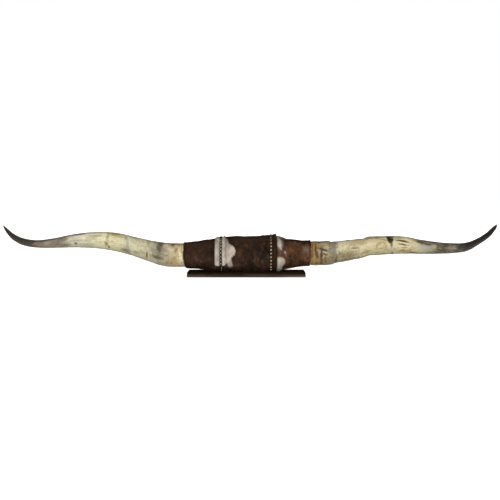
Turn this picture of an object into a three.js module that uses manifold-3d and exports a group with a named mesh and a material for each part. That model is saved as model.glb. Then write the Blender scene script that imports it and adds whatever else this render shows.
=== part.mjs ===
// A pair of longhorn steer horns on a shelf stand. The butts of the two horns sit in the ends of a
// stuffed cover of hair-on cowhide, sewn from three panels, which rests on a chamfered board.
// Millimetres, +Z up, +X along the horns to the viewer's right, -Y towards the viewer.
// The origin is the middle of the board's underside.
import * as THREE from "three";
import { mergeVertices } from "three/addons/utils/BufferGeometryUtils.js";
import Module from "manifold-3d";

const GAP = 0.3; // clearance left between pieces that touch
const LAY = 0.7; // how far trim lies off the cover, so that the flat facets of the two stay apart

// Board: planed 1 x 6 inch stock, about 18 inches long, with its long top edges chamfered
const BOARD = { length: 450, depth: 140, height: 19, edgeHeight: 12.5, chamfer: 8 };

// Horns: the centre and radius at points along each one, from the butt hidden in the hide to the tip
const LEFT_HORN = [
  { x: -159, y: 4, z: 79.6, radius: 45.2 },
  { x: -240, y: 0, z: 80.4, radius: 46 },
  { x: -309, y: -6, z: 83, radius: 46.4 },
  { x: -369, y: -16, z: 98, radius: 40.7 },
  { x: -429, y: -29, z: 116, radius: 36.7 },
  { x: -488, y: -42, z: 132, radius: 35.8 },
  { x: -547, y: -53, z: 140, radius: 33.2 },
  { x: -606, y: -61, z: 141, radius: 29.5 },
  { x: -666, y: -64, z: 137, radius: 24.4 },
  { x: -728, y: -60, z: 130, radius: 18.9 },
  { x: -791, y: -48, z: 126, radius: 15 },
  { x: -849, y: -30, z: 132.7, radius: 13.7 },
  { x: -891, y: -14, z: 150, radius: 11.2 },
  { x: -921, y: 0, z: 175, radius: 6.8 },
  { x: -937, y: 8, z: 194, radius: 1.5 },
];
const RIGHT_HORN = [
  { x: 169, y: 4, z: 86.2, radius: 45.4 },
  { x: 249, y: 0, z: 87.4, radius: 46.6 },
  { x: 317, y: -6, z: 89, radius: 46.8 },
  { x: 335, y: -9, z: 91.6, radius: 43 },
  { x: 428, y: -24, z: 106.4, radius: 38.4 },
  { x: 457, y: -30, z: 113, radius: 35.6 },
  { x: 476, y: -34, z: 117.8, radius: 37.6 },
  { x: 546, y: -47, z: 121.4, radius: 35.5 },
  { x: 598, y: -54, z: 122, radius: 34 },
  { x: 650, y: -60, z: 117, radius: 28.6 },
  { x: 718, y: -62, z: 112, radius: 23.4 },
  { x: 780, y: -54, z: 110.2, radius: 20 },
  { x: 836, y: -42, z: 114.4, radius: 17 },
  { x: 886, y: -26, z: 134.3, radius: 12.5 },
  { x: 928, y: -10, z: 159, radius: 11 },
  { x: 954, y: 2, z: 182.6, radius: 7.4 },
  { x: 967, y: 8, z: 198, radius: 1.5 },
];
// Growth ridges: swellings round the horn, and how far along from the cover's edge they fade out
const RIDGES = { pitch: 46, height: 0.9, fade: 420 };
const HORN_SIDES = 18;
const HORN_STEPS = 50;

// Hide cover: its top and underside at points along it. The underside lies flat on the board.
const COVER = [
  { x: -239, top: 129, bottom: 30.5 },
  { x: -217, top: 131, bottom: 29.3 },
  { x: -186, top: 134.2, bottom: 27.8 },
  { x: -155, top: 138.8, bottom: 22.4 },
  { x: -124, top: 144, bottom: 15 },
  { x: -99, top: 148.5, bottom: 12 },
  { x: -63, top: 152.7, bottom: 11 },
  { x: 14, top: 152.7, bottom: 11 },
  { x: 46, top: 153.6, bottom: 11 },
  { x: 68, top: 157.5, bottom: 11 },
  { x: 116.5, top: 158.5, bottom: 11 },
];
const RIGHT_CUFF = [
  { x: 116.5, top: 156, bottom: 14 },
  { x: 137, top: 149.6, bottom: 22 },
  { x: 153, top: 142.6, bottom: 26.6 },
  { x: 168, top: 141.1, bottom: 28.5 },
  { x: 199, top: 137.4, bottom: 34.3 },
  { x: 230, top: 137, bottom: 37.4 },
  { x: 246, top: 136.9, bottom: 37.8 },
];
const COVER_DEPTH = 0.985; // front-to-back size of the cover, as a share of its height
const COVER_SIDES = 26;
const LEFT_SEAM_X = -96.5;
const RIGHT_SEAM_X = 116.5;
const MOUTH_TUCK = { left: 8, right: -5.5 }; // how far in x each cuff is cut back under its horn

// Trim on the seams. Angles run round the cover in degrees: 0 is behind, 90 on top and 180 in front.
const WHITE_BAND = { from: -119.5, to: -80, thickness: 2.6, back: -35, front: 213 };
const BINDING = { from: 89, to: 116.2, thickness: 3.6, back: -54, front: 234 };
const LACING = { reach: 6, width: 3.4, thickness: 1.6, crossings: 21, back: -31, front: 209 };
const LACE_END = {
  x: -92.5,
  width: 4,
  thickness: 1.6,
  back: 204,
  front: 236,
  droopFrom: 0.45,
  droopTo: 0.75,
};
const STITCHES = { x: 94, width: 6.5, thickness: 1.4, count: 27, rise: 1.55, back: -50, front: 230 };

const wasm = await Module();
wasm.setup();

// Moves every vertex of a ready-made geometry to a place on the object, keeping it closed.
function bend(template, place) {
  template.deleteAttribute("normal");
  template.deleteAttribute("uv");
  const bent = mergeVertices(template);
  const position = bent.getAttribute("position");
  const vertex = new THREE.Vector3();
  for (let i = 0; i < position.count; i++) {
    const { x, y, z } = place(vertex.fromBufferAttribute(position, i));
    position.setXYZ(i, x, y, z);
  }
  return bent;
}

function toSolid(geometry) {
  const vertProperties = new Float32Array(geometry.getAttribute("position").array);
  const triVerts = new Uint32Array(geometry.index.array);
  return new wasm.Manifold(new wasm.Mesh({ numProp: 3, vertProperties, triVerts }));
}

function toGeometry(solid) {
  const { vertProperties, triVerts } = solid.getMesh();
  return new THREE.BufferGeometry()
    .setAttribute("position", new THREE.BufferAttribute(vertProperties, 3))
    .setIndex(new THREE.BufferAttribute(triVerts, 1));
}

// A horn: a cylinder swept along its curve, tapering to the tip, with growth ridges that fade with distance.
function hornGeometry(stations, clearance = 0) {
  const curve = new THREE.CatmullRomCurve3(stations.map(({ x, y, z }) => new THREE.Vector3(x, y, z)));
  const radii = new THREE.SplineCurve(stations.map(({ radius }, i) => new THREE.Vector2(i, radius)));
  const edgeX = stations[1].x; // the horn leaves the cover at its second station
  const up = new THREE.Vector3(0, 0, 1);
  const template = new THREE.CylinderGeometry(1, 1, 1, HORN_SIDES, HORN_STEPS);
  return bend(template, (v) => {
    const t = v.y + 0.5;
    const centre = curve.getPoint(t);
    const along = curve.getTangent(t);
    const upward = up.clone().projectOnPlane(along).normalize();
    const backward = upward.clone().cross(along);
    const distance = Math.abs(centre.x) - Math.abs(edgeX);
    const fade = distance > 0 ? Math.max(0, 1 - distance / RIDGES.fade) : 0;
    const ridge = RIDGES.height * fade * Math.sin((2 * Math.PI * distance) / RIDGES.pitch);
    const radius = radii.getPoint(t).y + ridge + clearance;
    if (t === 0) centre.addScaledVector(along, -clearance);
    return centre
      .addScaledVector(upward, v.x * radius)
      .addScaledVector(backward, v.z * radius);
  });
}

// The cover's outline: for a value of x, the height of its middle, and half its height and depth.
function outlineOf(stations) {
  const curveOf = (key) => new THREE.SplineCurve(stations.map((s) => new THREE.Vector2(s.x, s[key])));
  const tops = curveOf("top");
  const bottoms = curveOf("bottom");
  return (x) => {
    const next = Math.max(1, stations.findIndex((s) => s.x >= x - GAP));
    const { x: before } = stations[next - 1];
    const share = (x - before) / (stations[next].x - before);
    const t = (next - 1 + share) / (stations.length - 1);
    const top = tops.getPoint(t).y;
    const bottom = bottoms.getPoint(t).y;
    const half = (top - bottom) / 2;
    return { middle: (top + bottom) / 2, half, halfDepth: half * COVER_DEPTH };
  };
}
const leftOutline = outlineOf(COVER);
const rightOutline = outlineOf(RIGHT_CUFF);

// A point on the cover, lifted clear of it, where up and back give the direction from its middle.
function onCover(outline, x, up, back, lift = 0) {
  const { middle, half, halfDepth } = outline(x);
  const z = middle + up * (half + lift);
  return new THREE.Vector3(x, back * (halfDepth + lift), Math.max(z, BOARD.height + GAP));
}

// One panel of the cover between two values of x, filled as it is stuffed. A tuck draws in the underside of
// its first end, or of its last end where it is negative.
function panel(outline, fromX, toX, steps, tuck = 0) {
  const template = new THREE.CylinderGeometry(1, 1, 1, COVER_SIDES, steps);
  return bend(template, (v) => {
    const t = v.y + 0.5;
    const point = onCover(outline, THREE.MathUtils.lerp(fromX, toX, t), v.x, v.z);
    point.x += tuck * Math.max(0, -v.x) * (tuck > 0 ? 1 - t : t);
    return point;
  });
}

// A cuff is a panel with a socket that the horn's butt fills.
function cuff(outline, fromX, toX, steps, horn, tuck) {
  const socket = toSolid(hornGeometry(horn, GAP));
  return toGeometry(toSolid(panel(outline, fromX, toX, steps, tuck)).subtract(socket));
}

// A strip laid round the cover. At t from 0, behind, to 1, in front, path gives its middle in x and its lift.
function strip({ back, front, thickness }, width, across, steps, path) {
  const template = new THREE.BoxGeometry(1, 1, 1, across, 1, steps);
  return bend(template, (v) => {
    const t = v.z + 0.5;
    const angle = THREE.MathUtils.degToRad(THREE.MathUtils.lerp(back, front, t));
    const { x, lift } = path(t);
    const outward = lift + (v.y + 0.5) * thickness;
    return onCover(leftOutline, x + v.x * width, Math.sin(angle), Math.cos(angle), outward);
  });
}

function whiteBand() {
  const { from, to } = WHITE_BAND;
  return strip(WHITE_BAND, to - from, 3, 26, () => ({ x: (from + to) / 2, lift: LAY }));
}

// Two thongs that zigzag across the left seam and meet where they cross, and a loose end in front.
function crossLacing() {
  const stepsPerCrossing = 2;
  const lift = LAY + WHITE_BAND.thickness + LAY;
  const strands = [1, -1].map((side) =>
    strip(LACING, LACING.width, 1, LACING.crossings * stepsPerCrossing, (t) => {
      const place = t * LACING.crossings;
      const zigzag = 4 * Math.abs(place / 2 - Math.floor(place / 2 + 0.5)) - 1;
      return { x: LEFT_SEAM_X + side * LACING.reach * zigzag, lift };
    }),
  );
  const end = strip(LACE_END, LACE_END.width, 1, 6, (t) => {
    const droop = THREE.MathUtils.smoothstep(t, LACE_END.droopFrom, LACE_END.droopTo);
    return { x: LACE_END.x, lift: THREE.MathUtils.lerp(lift, LAY, droop) };
  });
  return toGeometry([...strands, end].map(toSolid).reduce((whole, next) => whole.add(next)));
}

// A flat thong that runs in and out of the binding: its crests lie on top, and its troughs are inside.
function runningStitch(clearance = 0) {
  const stepsPerStitch = 4;
  const thickness = STITCHES.thickness + 2 * clearance;
  const width = STITCHES.width + 2 * clearance;
  const middle = LAY + BINDING.thickness - STITCHES.rise - clearance;
  return strip({ ...STITCHES, thickness }, width, 1, STITCHES.count * stepsPerStitch, (t) => {
    const wave = Math.cos(2 * Math.PI * STITCHES.count * t);
    return { x: STITCHES.x, lift: middle - STITCHES.rise * wave };
  });
}

// The binding over the right seam, with a channel for the stitches.
function binding() {
  const { from, to } = BINDING;
  const whole = strip(BINDING, to - from, 2, 36, () => ({ x: (from + to) / 2, lift: LAY }));
  return toGeometry(toSolid(whole).subtract(toSolid(runningStitch(GAP))));
}

// A block with three levels: underside, the foot of the chamfer and the top.
function board() {
  const { length, depth, height, edgeHeight, chamfer } = BOARD;
  const levels = [0, edgeHeight, height];
  return bend(new THREE.BoxGeometry(1, 1, 2, 1, 1, 2), (v) => {
    const inset = v.z > 0.5 ? chamfer : 0;
    const y = v.y * (depth - 2 * inset);
    return new THREE.Vector3(v.x * length, y, levels[Math.round(v.z) + 1]);
  });
}

const finish = (color, roughness) => new THREE.MeshStandardMaterial({ color, roughness, metalness: 0 });
const horn = finish(0xcfc3a2, 0.4);
const brownHide = finish(0x3a281f, 0.85);
const whiteHide = finish(0xb9aca0, 0.85);
const darkLeather = finish(0x2a1d14, 0.6);
const thong = finish(0x1d1612, 0.6);
const paleThong = finish(0xc9bda6, 0.7);
const stainedWood = finish(0x2c211b, 0.45);

const mount = new THREE.Group();
function add(name, geometry, material) {
  const mesh = new THREE.Mesh(geometry, material);
  mesh.name = name;
  mount.add(mesh);
}

add("board", board(), stainedWood);
add("left_horn", hornGeometry(LEFT_HORN), horn);
add("right_horn", hornGeometry(RIGHT_HORN), horn);
const leftCuff = cuff(leftOutline, COVER[0].x, LEFT_SEAM_X - GAP / 2, 8, LEFT_HORN, MOUTH_TUCK.left);
const centreHide = panel(leftOutline, LEFT_SEAM_X + GAP / 2, RIGHT_SEAM_X - GAP / 2, 10);
const rightEndX = RIGHT_CUFF.at(-1).x;
const rightCuff = cuff(rightOutline, RIGHT_SEAM_X + GAP / 2, rightEndX, 9, RIGHT_HORN, MOUTH_TUCK.right);
add("left_cuff", leftCuff, brownHide);
add("centre_hide", centreHide, brownHide);
add("right_cuff", rightCuff, brownHide);
add("white_band", whiteBand(), whiteHide);
add("cross_lacing", crossLacing(), thong);
add("binding", binding(), darkLeather);
add("running_stitch", runningStitch(), paleThong);

export default mount;
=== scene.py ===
import math

import bmesh
import bpy
import numpy as np
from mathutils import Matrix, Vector, noise


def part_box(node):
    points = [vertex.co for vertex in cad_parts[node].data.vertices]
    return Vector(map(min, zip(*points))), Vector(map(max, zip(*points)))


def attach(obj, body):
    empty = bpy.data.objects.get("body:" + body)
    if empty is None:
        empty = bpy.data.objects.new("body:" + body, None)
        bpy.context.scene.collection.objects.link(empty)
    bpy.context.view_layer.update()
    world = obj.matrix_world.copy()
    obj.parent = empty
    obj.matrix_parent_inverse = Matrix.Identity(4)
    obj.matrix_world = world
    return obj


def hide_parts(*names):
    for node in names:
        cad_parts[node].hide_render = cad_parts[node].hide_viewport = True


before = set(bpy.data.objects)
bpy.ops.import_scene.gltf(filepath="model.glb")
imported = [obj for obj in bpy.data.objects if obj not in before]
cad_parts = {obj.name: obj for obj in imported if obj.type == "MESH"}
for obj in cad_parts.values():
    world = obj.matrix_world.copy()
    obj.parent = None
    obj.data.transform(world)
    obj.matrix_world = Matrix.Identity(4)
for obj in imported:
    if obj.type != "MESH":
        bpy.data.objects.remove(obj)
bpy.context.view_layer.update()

mm = 0.001
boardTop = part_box("board")[1].z
print("frame loaded:", len(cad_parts), "nodes")


# small helpers for node trees

class Wire:
    # one output of a node, on which sums are written as usual
    def __init__(self, tree, socket):
        self.tree, self.socket = tree, socket

    def __add__(self, other):
        return calc("ADD", self, other)

    def __sub__(self, other):
        return calc("SUBTRACT", self, other)

    def __rsub__(self, other):
        return calc("SUBTRACT", other, self)

    def __mul__(self, other):
        return calc("MULTIPLY", self, other)

    def __truediv__(self, other):
        return calc("DIVIDE", self, other)

    def __rtruediv__(self, other):
        return calc("DIVIDE", other, self)


def colour(code):
    # "d8cfa8" as the eye sees it, turned into linear light
    parts = [int(code[i:i + 2], 16) / 255 for i in (0, 2, 4)]
    return [p / 12.92 if p <= 0.04045 else ((p + 0.055) / 1.055) ** 2.4 for p in parts] + [1.0]


def setInput(tree, socket, value):
    if isinstance(value, Wire):
        tree.links.new(value.socket, socket)
    else:
        socket.default_value = value


def addNode(tree, kind, inputs=None, **settings):
    node = tree.nodes.new(kind)
    for name, value in settings.items():
        setattr(node, name, value)
    for key, value in (inputs or {}).items():
        setInput(tree, node.inputs[key], value)
    return node


def wire(tree, kind, inputs=None, output=0, **settings):
    return Wire(tree, addNode(tree, kind, inputs, **settings).outputs[output])


def treeOf(values):
    return next(v.tree for v in values if isinstance(v, Wire))


def calc(operation, *values):
    return wire(treeOf(values), "ShaderNodeMath", dict(enumerate(values)), operation=operation)


def vecCalc(operation, *values):
    return wire(treeOf(values), "ShaderNodeVectorMath", dict(enumerate(values)), operation=operation)


def scaled(vector, share):
    return wire(vector.tree, "ShaderNodeVectorMath", {0: vector, "Scale": share}, operation="SCALE")


def lengthOf(a, b):
    return calc("SQRT", a * a + b * b)


def axes(vector):
    node = addNode(vector.tree, "ShaderNodeSeparateXYZ", {0: vector})
    return [Wire(vector.tree, socket) for socket in node.outputs]


def combine(tree, parts):
    return wire(tree, "ShaderNodeCombineXYZ", parts)


def remap(value, low, high, toLow=0.0, toHigh=1.0):
    spans = {"Value": value, "From Min": low, "From Max": high, "To Min": toLow, "To Max": toHigh}
    return wire(value.tree, "ShaderNodeMapRange", spans, interpolation_type="SMOOTHSTEP")


def grain(vector, scale, detail=3.0, stretch=(1, 1, 1), roughness=0.6, output=0):
    # noise from 0 to 1 on coordinates that can be drawn out along one way
    drawn = vecCalc("MULTIPLY", vector, stretch)
    inputs = {"Vector": drawn, "Scale": scale, "Detail": detail, "Roughness": roughness}
    return wire(vector.tree, "ShaderNodeTexNoise", inputs, output)


def strayVector(vector, scale):
    return vecCalc("SUBTRACT", grain(vector, scale, 2.0, roughness=0.5, output=1), (0.5, 0.5, 0.5))


def blendColour(share, below, above):
    values = (share, below, above)
    return wire(treeOf(values), "ShaderNodeMix", dict(zip((0, 6, 7), values)), 2, data_type="RGBA")


def newTree(name, kind, inputs, outputs):
    # inputs are given by their default, or by their kind where they have none
    tree = bpy.data.node_groups.new(name, kind)
    for label, value in inputs.items():
        socketType = {int: "Int", float: "Float"}.get(type(value), value)
        socket = tree.interface.new_socket(label, in_out="INPUT", socket_type="NodeSocket" + socketType)
        if socketType != value:
            socket.default_value = value
    for label, socketType in outputs.items():
        tree.interface.new_socket(label, in_out="OUTPUT", socket_type="NodeSocket" + socketType)
    given = addNode(tree, "NodeGroupInput").outputs
    return tree, {label: Wire(tree, given[label]) for label in inputs}


def endTree(tree, **results):
    addNode(tree, "NodeGroupOutput", results)
    return tree


def useGroup(tree, group, inputs):
    node = addNode(tree, "ShaderNodeGroup", inputs, node_tree=group)
    return {socket.name: Wire(tree, socket) for socket in node.outputs}


def newMaterial(name):
    material = bpy.data.materials.new(name)
    material.use_nodes = True
    return material, material.node_tree


def setSurface(material, base, roughness, specular, normal=None):
    tree = material.node_tree
    sockets = tree.nodes["Principled BSDF"].inputs
    setInput(tree, sockets["Base Color"], base)
    setInput(tree, sockets["Roughness"], roughness)
    setInput(tree, sockets["Specular IOR Level"], specular)
    if normal:
        setInput(tree, sockets["Normal"], normal)
    return material


def bump(height, strength, distance):
    return wire(height.tree, "ShaderNodeBump", {"Height": height, "Strength": strength, "Distance": distance})


def readAttribute(tree, name, output="Vector"):
    return wire(tree, "ShaderNodeAttribute", None, output, attribute_name=name)


# small helpers for geometry trees

def named(tree, name, kind="FLOAT"):
    return wire(tree, "GeometryNodeInputNamedAttribute", {"Name": name}, data_type=kind)


def store(geometry, name, value, kind="FLOAT"):
    inputs = {"Geometry": geometry, "Name": name, "Value": value}
    return wire(geometry.tree, "GeometryNodeStoreNamedAttribute", inputs, data_type=kind, domain="POINT")


def randomBetween(low, high, seed):
    return wire(seed.tree, "FunctionNodeRandomValue", {2: low, 3: high, 8: seed}, 1, data_type="FLOAT")


def faceAndTurn(away, onward, turn):
    # stands along one way, faces another, then turns about its own axes
    tree = away.tree
    facing = wire(tree, "FunctionNodeAxesToRotation", {"Primary Axis": away, "Secondary Axis": onward},
                  primary_axis="Z", secondary_axis="Y")
    turned = wire(tree, "FunctionNodeEulerToRotation", {0: combine(tree, turn)})
    return wire(tree, "FunctionNodeRotateRotation", {0: facing, 1: turned}, rotation_space="LOCAL")


def copiesOn(points, thing, rotation, size):
    shape = wire(points.tree, "GeometryNodeObjectInfo", {"Object": thing}, "Geometry")
    inputs = {"Points": points, "Instance": shape, "Rotation": rotation, "Scale": size}
    return wire(points.tree, "GeometryNodeInstanceOnPoints", inputs)


def endGeometry(geometry, material):
    tree = geometry.tree
    geometry = wire(tree, "GeometryNodeRealizeInstances", {0: geometry})
    inputs = {"Geometry": geometry, "Material": material}
    return endTree(tree, Geometry=wire(tree, "GeometryNodeSetMaterial", inputs))


# small helpers for meshes

def showObject(name, data):
    piece = bpy.data.objects.new(name, data)
    bpy.context.scene.collection.objects.link(piece)
    return piece


def addAttributes(mesh, attributes):
    for label, values in attributes.items():
        values = np.asarray(values, np.float32)
        kind, field = ("FLOAT_VECTOR", "vector") if values.ndim == 2 else ("FLOAT", "value")
        mesh.attributes.new(label, kind, "POINT").data.foreach_set(field, values.ravel())


def meshObject(name, points, faces, material=None):
    mesh = bpy.data.meshes.new(name)
    mesh.from_pydata([tuple(p) for p in points], [], faces)
    mesh.shade_smooth()
    if material:
        mesh.materials.append(material)
    return showObject(name, mesh)


def lineObject(points, attributes):
    mesh = bpy.data.meshes.new("line")
    mesh.from_pydata([tuple(p) for p in points], [(i, i + 1) for i in range(len(points) - 1)], [])
    addAttributes(mesh, attributes)
    return showObject("line", mesh)


def nodesToMesh(name, source, tree, values):
    # runs a geometry tree on a source object and keeps the result as a plain mesh
    modifier = source.modifiers.new("shape", "NODES")
    modifier.node_group = tree
    for item in tree.interface.items_tree:
        if item.item_type == "SOCKET" and item.in_out == "INPUT" and item.name in values:
            modifier[item.identifier] = values[item.name]
    depsgraph = bpy.context.evaluated_depsgraph_get()
    mesh = bpy.data.meshes.new_from_object(
        source.evaluated_get(depsgraph), preserve_all_data_layers=True, depsgraph=depsgraph)
    source.modifiers.remove(modifier)
    mesh.name = name
    return showObject(name, mesh)


def dropObject(thing):
    mesh = thing.data
    bpy.data.objects.remove(thing)
    bpy.data.meshes.remove(mesh)


def gridFaces(rings, around):
    # quads between rings of points, each ring going once round
    faces = []
    for i in range(rings - 1):
        for j in range(around):
            k = (j + 1) % around
            faces.append((i * around + j, i * around + k, (i + 1) * around + k, (i + 1) * around + j))
    return faces


def endFaces(count, around):
    return [tuple(range(around)), tuple(range(count - around, count))]


def outward(piece):
    mesh = bmesh.new()
    mesh.from_mesh(piece.data)
    bmesh.ops.recalc_face_normals(mesh, faces=mesh.faces)
    mesh.to_mesh(piece.data)
    mesh.free()


def throughPoints(knots, values, x):
    # smooth curve through a few points, the same spline that the solids use
    x = np.asarray(x, float)
    i = np.clip(np.searchsorted(knots, x, side="right") - 1, 0, len(knots) - 2)
    t = (x - knots[i]) / (knots[i + 1] - knots[i])
    before, after = values[np.maximum(i - 1, 0)], values[np.minimum(i + 2, len(knots) - 1)]
    here, ahead = values[i], values[i + 1]
    v0, v1 = (ahead - before) / 2, (after - here) / 2
    cubic = 2 * here - 2 * ahead + v0 + v1
    square = 3 * ahead - 3 * here - 2 * v0 - v1
    return cubic * t**3 + square * t**2 + v0 * t + here


# camera, at the height and distance the photograph was taken from

view = {"distance": 3.4, "elevation": 3.8, "target": (0.01426, 0.0, 0.0997), "lens": 63.5}


def makeCamera():
    data = bpy.data.cameras.new("camera")
    data.lens = view["lens"]
    camera = showObject("camera", data)
    tilt = math.radians(view["elevation"])
    back = Vector((0, -math.cos(tilt), math.sin(tilt)))
    camera.location = Vector(view["target"]) + back * view["distance"]
    camera.rotation_euler = (math.radians(90) - tilt, 0, 0)
    bpy.context.scene.camera = camera


makeCamera()
print("camera placed")


# stage: pale floor, white surroundings, a broad soft light in front and a weaker one behind

stage = {"floorSize": 60, "floor": "f4f3f1", "ambient": 0.27, "backdrop": 1.0, "floorSun": 3.2,
         "aim": (0, 0, 0.08),
         "front": {"place": (-0.5, -4.2, 1.5), "size": (4.5, 1.4), "power": 150},
         "back": {"place": (0.8, 3.9, 1.1), "size": (4.0, 1.2), "power": 75}}


def addAreaLight(name, spec):
    data = bpy.data.lights.new(name, "AREA")
    data.shape = "RECTANGLE"
    data.size, data.size_y = spec["size"]
    data.energy = spec["power"]
    light = showObject(name, data)
    light.location = spec["place"]
    toObject = Vector(stage["aim"]) - light.location
    light.rotation_euler = toObject.to_track_quat("-Z", "Y").to_euler()


def makeStage():
    half = stage["floorSize"] / 2
    material = setSurface(newMaterial("paleFloor")[0], colour(stage["floor"]), 0.9, 0.1)
    corners = [(-half, -half, 0), (half, -half, 0), (half, half, 0), (-half, half, 0)]
    floor = meshObject("floor", corners, [(0, 1, 2, 3)], material)
    floor.visible_diffuse = False  # no glare from below
    onlyFloor = bpy.data.collections.new("onlyFloor")
    onlyFloor.objects.link(floor)
    sun = bpy.data.lights.new("floorSun", "SUN")  # whitens the floor alone
    sun.energy = stage["floorSun"]
    sun.angle = math.radians(80)
    sun.use_shadow = False
    showObject("floorSun", sun).light_linking.receiver_collection = onlyFloor
    addAreaLight("frontLight", stage["front"])
    addAreaLight("backLight", stage["back"])
    world = bpy.data.worlds.new("whiteRoom")
    bpy.context.scene.world = world
    world.use_nodes = True
    tree = world.node_tree
    seen = wire(tree, "ShaderNodeLightPath", None, "Is Camera Ray")
    strength = wire(tree, "ShaderNodeMapRange", {
        "Value": seen, "To Min": stage["ambient"], "To Max": stage["backdrop"]})
    background = tree.nodes["Background"].inputs
    setInput(tree, background["Color"], (1, 1, 1, 1))
    setInput(tree, background["Strength"], strength)
    bpy.context.scene.view_settings.view_transform = "Standard"


makeStage()
print("stage lit")


# mark: a soft-edged spot or streak on a piece that has been laid out straight

def makeMarkGroup():
    inputs = {"Straight": "Vector", "X": 0.0, "Turn": 0.0,
              "Length": 0.01, "Width": 0.01, "Tilt": 0.0,
              "Edge": 0.3, "Wander": 0.002, "Grain": 120.0,
              "Ragged": 0.0}
    tree, given = newTree("surfaceMark", "ShaderNodeTree", inputs, {"Mask": "Float"})
    stray = axes(strayVector(given["Straight"], given["Grain"]))
    x, front, up = axes(given["Straight"])
    sine, cosine = calc("SINE", given["Turn"]), calc("COSINE", given["Turn"])
    facing, aside = front * sine + up * cosine, front * cosine - up * sine
    across = calc("ARCTAN2", aside, facing) * lengthOf(front, up) + stray[0] * given["Wander"]
    along = x - given["X"] + stray[1] * given["Wander"]
    sine, cosine = calc("SINE", given["Tilt"]), calc("COSINE", given["Tilt"])
    p = (along * cosine + across * sine) / given["Length"]
    q = (across * cosine - along * sine) / given["Width"]
    fleck = grain(given["Straight"], 300.0, 3.0, (0.5, 1, 1)) - 0.5
    reach = lengthOf(p, q) + fleck * given["Ragged"]
    return endTree(tree, Mask=remap(reach, 1.0 - given["Edge"], given["Edge"] + 1.0, 1.0, 0.0))


markGroup = makeMarkGroup()


def mark(x, turn, length, width, tone=None, strength=1.0, **more):
    # sizes in millimetres, turn in degrees from the top towards the front
    return dict(more, x=x, turn=turn, length=length, width=width, tone=tone, strength=strength)


def markMask(straight, spot):
    mask = useGroup(straight.tree, markGroup, {
        "Straight": straight, "X": spot["x"] * mm, "Turn": math.radians(spot["turn"]),
        "Length": spot["length"] / 2 * mm, "Width": spot["width"] / 2 * mm,
        "Tilt": math.radians(spot.get("tilt", 0)), "Edge": spot["edge"], "Wander": spot["wander"] * mm,
        "Grain": spot["grain"], "Ragged": spot["ragged"]})["Mask"]
    return mask * spot["strength"]


# horns: swept along a curve through their centres, with growth rings, lumps and fibres

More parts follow.
